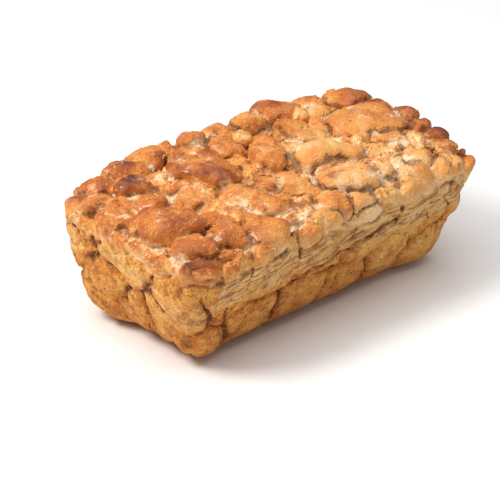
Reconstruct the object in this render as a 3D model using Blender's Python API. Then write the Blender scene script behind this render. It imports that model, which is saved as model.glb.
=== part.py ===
# Apple fritter bread: a tin loaf of fused dough nuggets with apple dice baked into its crust.
# The frame is in metres, +Z up, with the origin at the middle of the base and +X along the loaf.
import math
import random

import bmesh
import bpy
from mathutils import Euler, Matrix, Vector, noise

MM = 0.001

# Driving dimensions, in millimetres
RIM_LENGTH = 212
RIM_WIDTH = 118
RIM_HEIGHT = 58
FOOT_LENGTH = 192
FOOT_WIDTH = 90
FOOT_SHIFT = -4
CORNER_RADIUS = 17
FOOT_RADIUS = 15
# How far the foot is drawn in at the middle of the near end and of the near long side, up to what
# height, and between which places it fades in and out (y on the end, x on the long side)
TUCK_HEIGHT = 42
TUCK_POWER = 1.3
END_TUCK = 7.5
END_TUCK_IN = (-44, -26)
END_TUCK_OUT = (8, 27)
LONG_TUCK = 6.0
LONG_TUCK_IN = (-88, -62)
LONG_TUCK_OUT = (48, 84)

# How far each end wall swells halfway up
RIGHT_BULGE = 3.0
LEFT_BULGE = 2.5

CROWN_INSET = 8
CROWN_ROUNDING = 12
CROWN_LOW = 65
CROWN_HIGH = 72

# Big dough nuggets of the top: x, y and height of the middle, then length, width, depth and turn
BIG_NUGGETS = [
    # the far rim, from the left corner knob to the high right corner
    (-95, 48, 62, 20, 17, 16, 20), (-81, 52, 66, 22, 18, 17, 0), (-62, 50, 68, 26, 21, 18, -30),
    (-45, 54, 70, 24, 19, 16, 0), (-29, 53, 71, 18, 16, 16, 0), (-18, 50, 73, 19, 16, 16, 30),
    (-3, 43, 69, 36, 26, 16, -30), (9, 54, 71, 22, 16, 14, 0), (28, 53, 71, 24, 18, 16, 0),
    (52, 51, 71, 29, 20, 17, -35), (73, 45, 70, 26, 20, 14, -30), (84, 51, 66, 28, 18, 16, -35),
    (97, 39, 72, 30, 20, 17, -35),
    # the left third
    (-73, 34, 70, 20, 16, 16, 0), (-52, 31, 66, 32, 20, 14, -35), (-90, 36, 65, 26, 20, 15, -20),
    (-91, 20, 64, 30, 26, 16, 60), (-75, 18, 66, 30, 18, 14, -20), (-86, -14, 69, 31, 26, 21, -30),
    (-99, -8, 62, 24, 16, 14, 70), (-99, -29, 60, 24, 20, 16, 80), (-88, -41, 66, 27, 22, 19, -40),
    (-71, -44, 67, 29, 20, 20, -50), (-62, -24, 67, 18, 14, 13, -30), (-52, 5, 66, 34, 26, 14, -20),
    # the dark twin-lobed nugget and its neighbours in the middle
    (-33, 20, 70, 36, 24, 22, -72), (-24, 38, 70, 24, 24, 20, 0), (-28, -6, 67, 32, 22, 14, -40),
    (-45, -20, 66, 34, 26, 14, -30), (-30, -32, 68, 28, 16, 16, -40), (-15, -11, 68, 19, 16, 14, -60),
    (12, 17, 70, 34, 18, 18, 70), (23, 9, 69, 34, 14, 14, 65), (47, 33, 70, 19, 18, 16, 0),
    # the smooth nuggets right of the middle
    (0, -22, 67, 36, 24, 14, -35), (27, -22, 70, 23, 18, 16, 30), (22, -37, 71, 33, 22, 17, -25),
    (34, -10, 72, 36, 20, 16, -35), (36, -37, 71, 30, 18, 14, -42), (38, 12, 70, 27, 18, 14, -30),
    (60, 18, 68, 34, 18, 13, -35), (70, 31, 71, 24, 17, 14, -30), (82, 10, 71, 44, 36, 17, -30),
    (77, -12, 69, 22, 18, 14, 80), (60, -23, 68, 24, 18, 14, 0), (78, -28, 68, 28, 24, 14, 0),
    (56, -40, 68, 28, 24, 14, 20), (-20, -42, 66, 28, 26, 14, -40),
    # the near rim, from the left corner to the right one
    (-97, -51, 58, 27, 24, 20, -20), (-78, -55, 59, 24, 18, 15, 0), (-51, -52, 63, 25, 20, 24, 0),
    (-27, -56, 62, 14, 13, 13, 0), (-12, -54, 66, 21, 14, 13, -20), (-2, -51, 67, 20, 18, 17, 0),
    (15, -54, 68, 15, 13, 11, 0), (17, -58, 61, 13, 11, 15, 0), (31, -50, 66, 24, 17, 13, -30),
    (48, -57, 63, 16, 13, 14, 0), (62, -54, 64, 14, 13, 22, 0), (67, -44, 69, 21, 17, 14, -20),
    # the uneven right end, which overhangs the tin's edge
    (104, 1, 71, 17, 15, 14, -60), (102, -13, 67, 18, 15, 14, 0), (105, -27, 67, 14, 13, 13, 0),
    (96, -37, 65, 22, 18, 16, 0), (103, -44, 62, 15, 12, 14, 0), (99, -55, 58, 15, 14, 13, 0),
    (84, -50, 62, 26, 18, 14, 0), (101, 22, 68, 22, 20, 16, 0),
]

# Apple dice that show in the crust: x, y and height of the middle, edge length, and turns about x, y and z
APPLE_DICE = [
    (10, 36, 75, 13, 20, 10, 35),
    (-42, 36, 70, 11, 15, -12, 10),
    (62, -8, 72, 13, -18, 14, 25),
    (74, -56, 66, 10, 12, 20, 40),
    (88, -57, 66, 10, -15, 10, 15),
    (28, -58, 67, 11, 20, -15, 30),
    (58, 38, 74, 12, 10, 18, 50),
]
APPLE_GAP = 0.4
APPLE_ROUNDING = 2.2

DIE_FLATNESS = (1.0, 0.86, 0.8)

# Small nuggets that fill between the big ones, and the lumps that follow the tin's edge
FILL_SPACING = 13
FILL_SIZES = (11, 17)
FILL_INSETS = (6, 5)
FILL_WANDER = 3
FILL_CLEARANCE = 0.95
FILL_SINK = 3
RIM_LUMP = 15
RIM_LUMP_INSET = 5

# Flat lobes that were pressed against the tin, in rows: height of the middle, how tall and how wide
LOBE_ROWS = ((19, 30, 30), (42, 25, 25))
LOBE_THICKNESS = 8
LOBE_PROUD = 1.5
LOBE_CORNER_LIMIT = 0.3

# How uneven the noise makes each kind of lump, how fine it is, and how far it may tip, in radians
NUGGET_UNEVEN = 0.34
FILL_UNEVEN = 0.36
RIM_UNEVEN = 0.3
LOBE_UNEVEN = 0.25
UNEVEN_SCALE = 3.1
LUMP_TIP = 0.3
LARGE_NUGGET_AREA = 1000

BASE_TOLERANCE = 0.3
SMOOTH_ANGLE = 50
MAX_TRIANGLES = 10200
SEED = 7


def new_collection(name):
    """Adds a collection to the scene."""
    group = bpy.data.collections.new(name)
    bpy.context.scene.collection.children.link(group)
    return group


def add_object(name, mesh, group):
    """Makes an object from a mesh in one collection."""
    piece = bpy.data.objects.new(name, mesh)
    group.objects.link(piece)
    return piece


def mesh_from(shape, name):
    """Turns a bmesh measured in millimetres into a mesh in metres."""
    shape.transform(Matrix.Scale(MM, 4))
    mesh = bpy.data.meshes.new(name)
    shape.to_mesh(mesh)
    shape.free()
    return mesh


def baked_material(name, colour, roughness):
    """Makes a Principled material with one colour."""
    material = bpy.data.materials.new(name)
    material.use_nodes = True
    shader = material.node_tree.nodes["Principled BSDF"]
    shader.inputs["Base Color"].default_value = (*colour, 1.0)
    shader.inputs["Roughness"].default_value = roughness
    shader.inputs["Metallic"].default_value = 0.0
    return material


def near_edges(shape, test):
    """Picks the edges whose two ends both pass a test."""
    return [edge for edge in shape.edges if all(test(vert.co) for vert in edge.verts)]


def tin_block():
    """The dough up to the tin's edge: a tapered box with round corners and a round foot."""
    shape = bmesh.new()
    bmesh.ops.create_cube(shape, size=1.0)
    for vert in shape.verts:
        top = vert.co.z > 0
        vert.co.x = vert.co.x * RIM_LENGTH if top else vert.co.x * FOOT_LENGTH + FOOT_SHIFT
        vert.co.y *= RIM_WIDTH if top else FOOT_WIDTH
        vert.co.z = RIM_HEIGHT if top else 0.0
    corners = [e for e in shape.edges if abs(e.verts[0].co.z - e.verts[1].co.z) > RIM_HEIGHT / 2]
    bmesh.ops.bevel(shape, geom=corners, offset=CORNER_RADIUS, segments=5, profile=0.5,
                    affect="EDGES", clamp_overlap=True)
    foot = near_edges(shape, lambda co: co.z < 0.001)
    bmesh.ops.bevel(shape, geom=foot, offset=FOOT_RADIUS, segments=4, profile=0.5,
                    affect="EDGES", clamp_overlap=True)
    bmesh.ops.triangulate(shape, faces=shape.faces)
    return mesh_from(shape, "tin_block")


def ball(middle, size, turn, detail, roughness, seed):
    """One lump of dough: an icosphere pulled to its three sizes and made uneven by noise."""
    shape = bmesh.new()
    bmesh.ops.create_icosphere(shape, subdivisions=detail, radius=0.5)
    for vert in shape.verts:
        swell = noise.noise(vert.co * UNEVEN_SCALE + Vector((seed * 1.7, seed * 0.9, 4.0)))
        vert.co *= 1.0 + roughness * swell
        vert.co = Vector((vert.co.x * size[0], vert.co.y * size[1], vert.co.z * size[2]))
    place = Matrix.Translation(Vector(middle)) @ turn.to_matrix().to_4x4()
    bmesh.ops.transform(shape, matrix=place, verts=shape.verts)
    return mesh_from(shape, "lump")


def crown_height(x):
    """Height of the packed dough under the nuggets, which rises along the loaf."""
    return CROWN_LOW + (CROWN_HIGH - CROWN_LOW) * (0.5 + x / RIM_LENGTH)


def crown():
    """The packed dough above the tin's edge, under the nuggets."""
    shape = bmesh.new()
    bmesh.ops.create_cube(shape, size=1.0)
    for vert in shape.verts:
        top = vert.co.z > 0
        vert.co.x *= RIM_LENGTH - CROWN_INSET
        vert.co.y *= RIM_WIDTH - CROWN_INSET
        vert.co.z = crown_height(vert.co.x) if top else RIM_HEIGHT / 2
    bmesh.ops.bevel(shape, geom=shape.edges[:], offset=CROWN_ROUNDING, segments=4, profile=0.5,
                    affect="EDGES", clamp_overlap=True)
    bmesh.ops.triangulate(shape, faces=shape.faces)
    return mesh_from(shape, "crown")


def clear_of_big(x, y, reach):
    """Tells whether a spot is far enough from the middle of every big nugget."""
    for big_x, big_y, _, length, width, _, _ in BIG_NUGGETS:
        if math.hypot(x - big_x, y - big_y) < reach * (length + width) / 4:
            return False
    return True


def fill_places(rng):
    """Spots for small nuggets, on an uneven grid over the top, out to the rim."""
    places = []
    half_length = RIM_LENGTH / 2 - FILL_INSETS[0]
    half_width = RIM_WIDTH / 2 - FILL_INSETS[1]
    columns = int(2 * half_length / FILL_SPACING)
    rows = int(2 * half_width / FILL_SPACING)
    for column in range(columns + 1):
        for row in range(rows + 1):
            x = -half_length + 2 * half_length * column / columns + rng.uniform(-FILL_WANDER, FILL_WANDER)
            y = -half_width + 2 * half_width * row / rows + rng.uniform(-FILL_WANDER, FILL_WANDER)
            size = rng.uniform(*FILL_SIZES)
            if clear_of_big(x, y, FILL_CLEARANCE):
                places.append((x, y, size))
    return places


def top_lumps(rng):
    """Every nugget of the heap, big ones as placed and small ones by rule."""
    lumps = []
    for index, (x, y, z, length, width, depth, turn) in enumerate(BIG_NUGGETS):
        detail = 3 if length * width > LARGE_NUGGET_AREA else 2
        angles = Euler((0.0, 0.0, math.radians(turn)))
        lumps.append(ball((x, y, z), (length, width, depth), angles, detail, NUGGET_UNEVEN, index))
    for index, (x, y, size) in enumerate(fill_places(rng)):
        middle = (x, y, crown_height(x) - FILL_SINK)
        shape = (size * rng.uniform(0.9, 1.3), size * rng.uniform(0.8, 1.0), size * 0.8)
        tips = (rng.uniform(-LUMP_TIP, LUMP_TIP), rng.uniform(-LUMP_TIP, LUMP_TIP))
        angles = Euler((*tips, rng.uniform(0, math.pi)))
        lumps.append(ball(middle, shape, angles, 2, FILL_UNEVEN, 100 + index))
    return lumps


def wall_size(height):
    """Length, width and middle of the tin's inside at one height."""
    part_up = height / RIM_HEIGHT
    length = FOOT_LENGTH + (RIM_LENGTH - FOOT_LENGTH) * part_up
    width = FOOT_WIDTH + (RIM_WIDTH - FOOT_WIDTH) * part_up
    return length, width, FOOT_SHIFT * (1 - part_up)


def round_the_tin(height, inset, pitch):
    """Places along the tin's wall at one height: x, y and the heading outward, a pitch apart."""
    length, width, middle = wall_size(height)
    half_x = length / 2 - CORNER_RADIUS
    half_y = width / 2 - CORNER_RADIUS
    radius = CORNER_RADIUS - inset
    quarter = radius * math.pi / 2
    sides = [2 * half_y, 2 * half_x, 2 * half_y, 2 * half_x]
    around = sum(sides) + 4 * quarter
    count = round(around / pitch)
    places = []
    for step in range(count):
        left = around * (step + 0.5) / count
        corner_x, corner_y = middle + half_x, -half_y
        for side, run in enumerate(sides):
            heading = side * math.pi / 2
            forward = (-math.sin(heading), math.cos(heading))
            if left <= run:
                x = corner_x + forward[0] * left + math.cos(heading) * radius
                y = corner_y + forward[1] * left + math.sin(heading) * radius
                places.append((x, y, heading))
                break
            left -= run
            corner_x += forward[0] * run
            corner_y += forward[1] * run
            if left <= quarter:
                heading += left / radius
                x = corner_x + math.cos(heading) * radius
                y = corner_y + math.sin(heading) * radius
                places.append((x, y, heading))
                break
            left -= quarter
    return places


def rim_lumps(rng):
    """A run of lumps along the tin's edge, flush with the wall below them."""
    lumps = []
    for index, (x, y, heading) in enumerate(round_the_tin(RIM_HEIGHT, RIM_LUMP_INSET, RIM_LUMP)):
        size = (RIM_LUMP * rng.uniform(1.1, 1.5), 2 * RIM_LUMP_INSET + 3, RIM_LUMP * rng.uniform(1.0, 1.35))
        angles = Euler((0.0, rng.uniform(-LUMP_TIP, LUMP_TIP), heading + math.pi / 2))
        lumps.append(ball((x, y, RIM_HEIGHT), size, angles, 2, RIM_UNEVEN, 200 + index))
    return lumps


def wall_lobes(rng):
    """Flat lobes on the four walls, but not round the corners, which stay smooth."""
    inset = LOBE_THICKNESS / 2 - LOBE_PROUD
    lobes = []
    for height, tall, wide in LOBE_ROWS:
        for x, y, heading in round_the_tin(height, inset, wide):
            if abs(math.sin(2 * heading)) > LOBE_CORNER_LIMIT:
                continue
            facing_end = abs(math.cos(heading))
            spread_x = (RIM_LENGTH - FOOT_LENGTH) / 2 - math.cos(heading) * FOOT_SHIFT
            spread_y = (RIM_WIDTH - FOOT_WIDTH) / 2
            lean = math.atan2(spread_x * facing_end + spread_y * (1 - facing_end), RIM_HEIGHT)
            size = (wide * rng.uniform(0.95, 1.2), LOBE_THICKNESS, tall * rng.uniform(0.85, 1.05))
            up = height + rng.uniform(-2, 2)
            angles = Euler((lean, rng.uniform(-0.25, 0.25), heading + math.pi / 2), "YXZ")
            lobes.append(ball((x, y, up), size, angles, 2, LOBE_UNEVEN, 300 + len(lobes)))
    return lobes


def outer_shell(mesh):
    """Keeps the one outer body of a mesh, so that no sealed hollow or loose scrap stays in it."""
    shape = bmesh.new()
    shape.from_mesh(mesh)
    seen = set()
    bodies = []
    for first in shape.verts:
        if first in seen:
            continue
        body = []
        todo = [first]
        seen.add(first)
        while todo:
            vert = todo.pop()
            body.append(vert)
            for edge in vert.link_edges:
                other = edge.other_vert(vert)
                if other not in seen:
                    seen.add(other)
                    todo.append(other)
        bodies.append(body)
    bodies.sort(key=len)
    scraps = [vert for body in bodies[:-1] for vert in body]
    bmesh.ops.delete(shape, geom=scraps, context="VERTS")
    shape.to_mesh(mesh)
    shape.free()


def apply_modifiers(piece):
    """Swaps an object's mesh for its evaluated one, and drops its modifiers."""
    depsgraph = bpy.context.evaluated_depsgraph_get()
    mesh = bpy.data.meshes.new_from_object(piece.evaluated_get(depsgraph))
    piece.modifiers.clear()
    piece.data = mesh


def remove_group(group):
    """Removes a collection with all its objects."""
    for piece in list(group.objects):
        bpy.data.objects.remove(piece)
    bpy.data.collections.remove(group)


def thin_out(piece):
    """Brings the fused mesh down to its triangle budget."""
    piece.data.calc_loop_triangles()
    count = len(piece.data.loop_triangles)
    if count > MAX_TRIANGLES:
        decimate = piece.modifiers.new("thin_out", "DECIMATE")
        decimate.ratio = MAX_TRIANGLES / count
        decimate.use_collapse_triangulate = True
        apply_modifiers(piece)


def flatten_base(mesh):
    """Puts the base's own points exactly on the plane that the loaf stands on."""
    for vert in mesh.vertices:
        if vert.co.z < BASE_TOLERANCE * MM:
            vert.co.z = 0.0


def ease(low, high, value):
    """A soft step from 0 at low to 1 at high."""
    part = min(max((value - low) / (high - low), 0.0), 1.0)
    return part * part * (3 - 2 * part)


def shape_walls(mesh):
    """Draws the foot in under the loaf and swells the two end walls."""
    for vert in mesh.vertices:
        x, y, z = vert.co / MM
        low = max(1 - z / TUCK_HEIGHT, 0.0) ** TUCK_POWER
        swell = math.sin(math.pi * min(z / RIM_HEIGHT, 1.0))
        at_end = ease(*END_TUCK_IN, y) * (1 - ease(*END_TUCK_OUT, y)) * max(-2 * x / RIM_LENGTH, 0.0)
        at_long = ease(*LONG_TUCK_IN, x) * (1 - ease(*LONG_TUCK_OUT, x)) * max(-2 * y / RIM_WIDTH, 0.0)
        bulge = RIGHT_BULGE if x > 0 else -LEFT_BULGE
        x += END_TUCK * low * at_end + bulge * swell * (2 * x / RIM_LENGTH) ** 2
        y += LONG_TUCK * low * at_long
        vert.co = Vector((x, y, z)) * MM


def fuse(piece, meshes, operation, solver):
    """Joins or cuts a piece by several closed meshes in one Boolean, and applies it."""
    group = new_collection("lumps")
    for index, mesh in enumerate(meshes):
        add_object(f"lump_{index}", mesh, group)
    boolean = piece.modifiers.new("fuse", "BOOLEAN")
    boolean.operation = operation
    boolean.operand_type = "COLLECTION"
    boolean.collection = group
    boolean.solver = solver
    apply_modifiers(piece)
    remove_group(group)


def die_shape(die, grow):
    """One apple die with rounded, slightly uneven sides, made larger for its pocket by grow."""
    x, y, z, edge, turn_x, turn_y, turn_z = die
    shape = bmesh.new()
    bmesh.ops.create_cube(shape, size=1.0)
    for vert in shape.verts:
        sizes = [flatness * edge + 2 * grow for flatness in DIE_FLATNESS]
        vert.co = Vector([part * size for part, size in zip(vert.co, sizes)])
    bmesh.ops.bevel(shape, geom=shape.edges[:], offset=APPLE_ROUNDING, segments=2, profile=0.5,
                    affect="EDGES", clamp_overlap=True)
    angles = Euler((math.radians(turn_x), math.radians(turn_y), math.radians(turn_z)))
    place = Matrix.Translation(Vector((x, y, z))) @ angles.to_matrix().to_4x4()
    bmesh.ops.transform(shape, matrix=place, verts=shape.verts)
    bmesh.ops.triangulate(shape, faces=shape.faces)
    return mesh_from(shape, "die")


def make_loaf(group, material):
    """The loaf: block, crown, nuggets and lobes fused into one body, with a pocket for each die."""
    rng = random.Random(SEED)
    loaf = add_object("loaf", tin_block(), group)
    lumps = [crown()] + top_lumps(rng) + rim_lumps(rng) + wall_lobes(rng)
    fuse(loaf, lumps, "UNION", "MANIFOLD")
    outer_shell(loaf.data)
    thin_out(loaf)
    flatten_base(loaf.data)
    shape_walls(loaf.data)
    fuse(loaf, [die_shape(die, APPLE_GAP) for die in APPLE_DICE], "DIFFERENCE", "MANIFOLD")
    outer_shell(loaf.data)
    finish_piece(loaf, material)
    return loaf


def make_dice(group, material):
    """The apple dice, each its own object."""
    for index, die in enumerate(APPLE_DICE, start=1):
        piece = add_object(f"apple_{index}", die_shape(die, 0.0), group)
        finish_piece(piece, material)


def finish_piece(piece, material):
    """Shades a piece smooth and gives it its material."""
    piece.data.shade_smooth()
    piece.data.set_sharp_from_angle(angle=math.radians(SMOOTH_ANGLE))
    piece.data.materials.clear()
    piece.data.materials.append(material)


def main():
    """Clears the scene and models the loaf."""
    for old in list(bpy.data.objects):
        bpy.data.objects.remove(old)
    group = new_collection("apple_fritter_bread")
    make_loaf(group, baked_material("golden_crust", (0.58, 0.28, 0.09), 0.6))
    make_dice(group, baked_material("baked_apple", (0.72, 0.50, 0.24), 0.35))


main()
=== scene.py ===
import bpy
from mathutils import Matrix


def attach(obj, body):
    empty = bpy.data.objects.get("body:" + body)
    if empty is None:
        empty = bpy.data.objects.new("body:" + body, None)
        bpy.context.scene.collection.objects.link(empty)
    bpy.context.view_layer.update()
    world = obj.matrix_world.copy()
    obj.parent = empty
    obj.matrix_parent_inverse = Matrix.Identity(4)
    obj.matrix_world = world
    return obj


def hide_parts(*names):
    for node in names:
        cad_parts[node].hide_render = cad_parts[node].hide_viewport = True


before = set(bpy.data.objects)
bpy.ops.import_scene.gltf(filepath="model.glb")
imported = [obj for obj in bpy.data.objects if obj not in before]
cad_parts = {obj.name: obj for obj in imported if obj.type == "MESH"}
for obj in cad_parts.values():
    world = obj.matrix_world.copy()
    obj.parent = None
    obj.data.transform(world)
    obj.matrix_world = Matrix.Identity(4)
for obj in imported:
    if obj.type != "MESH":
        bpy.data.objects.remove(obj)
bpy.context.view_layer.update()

import math
import random

import bmesh
import bpy
import numpy as np
from mathutils import Euler, Matrix, Vector

mm = 0.001  # every size below is in millimetres

tin = {  # the tin that shaped the walls
    "rimLength": 212, "rimWidth": 118, "rimHeight": 58,
    "footLength": 192, "footWidth": 90, "footShift": -4,
    "cornerRadius": 17, "footRadius": 15,
}

# Packed dough under the nuggets; sink is how far below it the small ones have their middles
crown = {"inset": 8, "rounding": 12, "low": 65, "high": 72, "sink": 3}

# Big dough nuggets: middle x, y, z, then length, width, depth, turn, browning and roughness
bigNuggets = [
    # the far rim, from the left corner knob to the high right corner
    (-95, 48, 62, 20, 17, 16, 20, 0.4, 0.4), (-81, 52, 66, 22, 18, 17, 0, 0.5, 0.4),
    (-62, 50, 68, 26, 21, 18, -30, 0.6, 0.3), (-45, 54, 70, 24, 19, 16, 0, 0.4, 0.4),
    (-29, 53, 71, 18, 16, 16, 0, 0.3, 0.5), (-18, 50, 73, 19, 16, 16, 30, 0.6, 0.4),
    (-3, 43, 69, 36, 26, 16, -30, 0.2, 0.5), (9, 54, 71, 22, 16, 14, 0, 0.3, 0.3),
    (28, 53, 71, 24, 18, 16, 0, 0.1, 0.5), (52, 51, 71, 29, 20, 17, -35, 0.5, 0.2),
    (73, 45, 70, 26, 20, 14, -30, 0.2, 0.6), (84, 51, 66, 28, 18, 16, -35, 0.5, 0.4),
    (97, 39, 69, 28, 19, 17, -35, 0.6, 0.1),
    # the left third
    (-73, 34, 70, 20, 16, 16, 0, 0.8, 0.3), (-52, 31, 66, 32, 20, 14, -35, 0.1, 0.6),
    (-90, 36, 65, 26, 20, 15, -20, 0.3, 0.3), (-91, 20, 64, 30, 26, 16, 60, 0.5, 0.6),
    (-75, 18, 66, 30, 18, 14, -20, 0.3, 0.4), (-86, -14, 69, 31, 26, 21, -30, 0.6, 0.4),
    (-99, -8, 62, 24, 16, 14, 70, 0.0, 0.4), (-99, -29, 60, 24, 20, 16, 80, 0.2, 0.8),
    (-88, -41, 66, 24, 19, 19, -40, 0.5, 0.2), (-71, -44, 67, 25, 18, 20, -50, 0.45, 0.15),
    (-62, -24, 67, 18, 14, 13, -30, 0.3, 0.3), (-52, 5, 66, 34, 26, 14, -20, 0.2, 0.5),
    # the dark twin-lobed nugget and its neighbours in the middle
    (-33, 20, 70, 36, 24, 22, -72, 0.7, 0.25), (-24, 38, 70, 24, 24, 20, 0, 0.5, 0.35),
    (-28, -6, 67, 32, 22, 14, -40, 0.25, 0.45), (-45, -20, 66, 34, 26, 14, -30, -0.3, 0.7),
    (-30, -32, 68, 28, 16, 16, -40, 0.4, 0.4), (-15, -11, 68, 19, 16, 14, -60, 0.3, 0.4),
    (12, 17, 70, 34, 18, 18, 70, 0.3, 0.5), (23, 9, 69, 34, 14, 14, 65, 0.1, 0.5),
    (47, 33, 70, 19, 18, 16, 0, 0.2, 0.3),
    # the smooth nuggets right of the middle
    (0, -22, 67, 36, 24, 14, -35, -0.05, 0.3), (27, -22, 70, 23, 18, 16, 30, -0.25, 0.05),
    (22, -38, 71, 32, 26, 18, -25, -0.2, 0.05), (34, -11, 72, 36, 23, 17, -35, -0.1, 0.05),
    (36, -37, 71, 30, 18, 14, -42, 0.1, 0.15), (38, 12, 70, 27, 18, 14, -30, 0.0, 0.2),
    (60, 18, 68, 34, 18, 13, -35, -0.1, 0.4), (70, 31, 71, 24, 17, 14, -30, 0.2, 0.3),
    (82, 10, 71, 44, 36, 17, -30, 0.2, 0.1), (77, -12, 69, 22, 18, 14, 80, 0.3, 0.1),
    (60, -23, 68, 24, 18, 14, 0, -0.1, 0.6), (78, -28, 68, 28, 24, 14, 0, -0.6, 0.8),
    (56, -40, 68, 28, 24, 14, 20, -0.5, 0.9), (-20, -42, 66, 28, 26, 14, -40, -0.2, 0.9),
    # the near rim, from the left corner to the right one
    (-94, -49, 61, 23, 19, 20, -25, 0.6, 0.15), (-76, -50, 63, 25, 19, 18, 0, 0.0, 1.0),
    (-52, -50, 64, 25, 20, 23, 0, 0.3, 0.15), (-27, -56, 62, 14, 13, 13, 0, 0.5, 0.3),
    (-12, -54, 66, 21, 14, 13, -20, 0.15, 0.3), (-2, -51, 67, 20, 18, 17, 0, 0.5, 0.3),
    (15, -54, 68, 15, 13, 11, 0, 0.1, 0.2), (17, -58, 61, 13, 11, 15, 0, -0.5, 0.2),
    (31, -50, 66, 24, 17, 13, -30, -0.3, 0.6), (48, -57, 63, 16, 13, 14, 0, 0.4, 0.4),
    (62, -54, 64, 14, 13, 22, 0, 0.25, 0.3), (67, -44, 69, 21, 17, 14, -20, -0.05, 0.2),
    # the uneven right end, which overhangs the tin's edge
    (104, 1, 71, 17, 15, 14, -60, 0.6, 0.2), (102, -13, 67, 18, 15, 14, 0, 0.5, 0.3),
    (105, -27, 67, 14, 13, 13, 0, 0.6, 0.2), (96, -37, 65, 22, 18, 16, 0, 0.5, 0.5),
    (103, -44, 62, 15, 12, 14, 0, 0.5, 0.2), (102, -53, 58, 20, 17, 17, -30, 0.6, 0.3),
    (84, -50, 62, 26, 18, 14, 0, 0.3, 0.6), (101, 22, 68, 22, 20, 16, 0, 0.4, 0.3),
]

# Every lump: its detail and squareness, and how much wider a big one is than its row says
packing = {"detail": 5, "squareness": 2.6, "spread": 1.2}

# Small nuggets between the big ones and along the rim; long, wide and deep are parts of their size
smallNuggets = {
    "spacing": 13, "sizes": (11, 17), "endGap": 6, "sideGap": 5, "jitter": 3, "clear": 0.95,
    "long": (0.9, 1.3), "wide": (0.8, 1.0), "deep": 0.8, "tilt": 0.3, "tone": -0.1, "rough": 0.7,
    "rimSize": 15, "rimInset": 5, "rimLong": (1.1, 1.5), "rimExtra": 3, "rimDeep": (1.0, 1.35),
    "rimTone": 0.15, "rimRough": 0.6, "seed": 7,
}


def crownHeight(x):
    return crown["low"] + (crown["high"] - crown["low"]) * (0.5 + x / tin["rimLength"])


def clearOfBig(x, y, reach):
    for bigX, bigY, _, length, width, *_ in bigNuggets:
        if math.hypot(x - bigX, y - bigY) < reach * (length + width) / 4:
            return False
    return True


def roundTheRim(inset, pitch):  # places along the tin's edge, with the heading outward
    radius = tin["cornerRadius"] - inset
    halfX = tin["rimLength"] / 2 - tin["cornerRadius"]
    halfY = tin["rimWidth"] / 2 - tin["cornerRadius"]
    quarter = radius * math.pi / 2
    runs = [2 * halfY, 2 * halfX, 2 * halfY, 2 * halfX]
    around = sum(runs) + 4 * quarter
    count = round(around / pitch)
    places = []
    for step in range(count):
        left = around * (step + 0.5) / count
        cornerX, cornerY = halfX, -halfY
        for side, run in enumerate(runs):
            heading = side * math.pi / 2
            forward = (-math.sin(heading), math.cos(heading))
            if left > run:
                cornerX += forward[0] * run
                cornerY += forward[1] * run
                left -= run
                if left > quarter:
                    left -= quarter
                    continue
                heading += left / radius
                left = 0
            x = cornerX + forward[0] * left + math.cos(heading) * radius
            y = cornerY + forward[1] * left + math.sin(heading) * radius
            places.append((x, y, heading))
            break
    return places


def nuggetSheet():  # every nugget: middle, size, turn, browning, roughness
    small, spread = smallNuggets, packing["spread"]
    rng = random.Random(small["seed"])
    rows, spots = [], []

    def within(reach):
        return rng.uniform(-reach, reach)

    for x, y, z, length, width, depth, turn, tone, rough in bigNuggets:
        size = (length * spread, width * spread, depth)
        rows.append(((x, y, z), size, (0.0, 0.0, math.radians(turn)), tone, rough))
    halfLength = tin["rimLength"] / 2 - small["endGap"]
    halfWidth = tin["rimWidth"] / 2 - small["sideGap"]
    columns, lines = (int(2 * half / small["spacing"]) for half in (halfLength, halfWidth))
    for column in range(columns + 1):
        for line in range(lines + 1):
            x = -halfLength + 2 * halfLength * column / columns + within(small["jitter"])
            y = -halfWidth + 2 * halfWidth * line / lines + within(small["jitter"])
            size = rng.uniform(*small["sizes"])
            if clearOfBig(x, y, small["clear"]):
                spots.append((x, y, size))
    for x, y, size in spots:
        long, wide = rng.uniform(*small["long"]), rng.uniform(*small["wide"])
        shape = (size * long, size * wide, size * small["deep"])
        turn = (within(small["tilt"]), within(small["tilt"]), rng.uniform(0, math.pi))
        rows.append(((x, y, crownHeight(x) - crown["sink"]), shape, turn, small["tone"], small["rough"]))
    for x, y, heading in roundTheRim(small["rimInset"], small["rimSize"]):
        long, deep = rng.uniform(*small["rimLong"]), rng.uniform(*small["rimDeep"])
        shape = (small["rimSize"] * long, 2 * small["rimInset"] + small["rimExtra"], small["rimSize"] * deep)
        turn = (0.0, within(small["tilt"]), heading + math.pi / 2)
        rows.append(((x, y, tin["rimHeight"]), shape, turn, small["rimTone"], small["rimRough"]))
    return rows


nuggets = nuggetSheet()
print("nuggets:", len(nuggets))

# Noise, smoothing and masks, on arrays of points in millimetres

gradients = np.random.default_rng(11).normal(size=(256, 3))
gradients /= np.linalg.norm(gradients, axis=1)[:, None]


def cloud(points, cell, seed=0):  # smooth noise from about -1 to 1
    spot = points / np.asarray(cell, float) + seed * 7.31
    base = np.floor(spot).astype(np.int64)
    part = spot - base
    fade = part * part * part * (part * (part * 6 - 15) + 10)
    total = np.zeros(len(points))
    for corner in range(8):
        step = np.array([corner & 1, corner >> 1 & 1, corner >> 2 & 1])
        cellId = base + step
        key = cellId[:, 0] * 73856093 ^ cellId[:, 1] * 19349663 ^ cellId[:, 2] * 83492791
        key = (key ^ key >> 13) * 1274126177
        slope = gradients[(key ^ key >> 16) & 255]
        weight = np.prod(np.where(step, fade, 1 - fade), axis=1)
        total += weight * np.einsum("ij,ij->i", slope, part - step)
    return total * 1.6


def clouds(points, cell, octaves, seed=0):  # several sizes of noise, each half as strong
    total = np.zeros(len(points))
    for octave in range(octaves):
        total += cloud(points, np.asarray(cell, float) / 2 ** octave, seed + octave) / 2 ** octave
    return total


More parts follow.
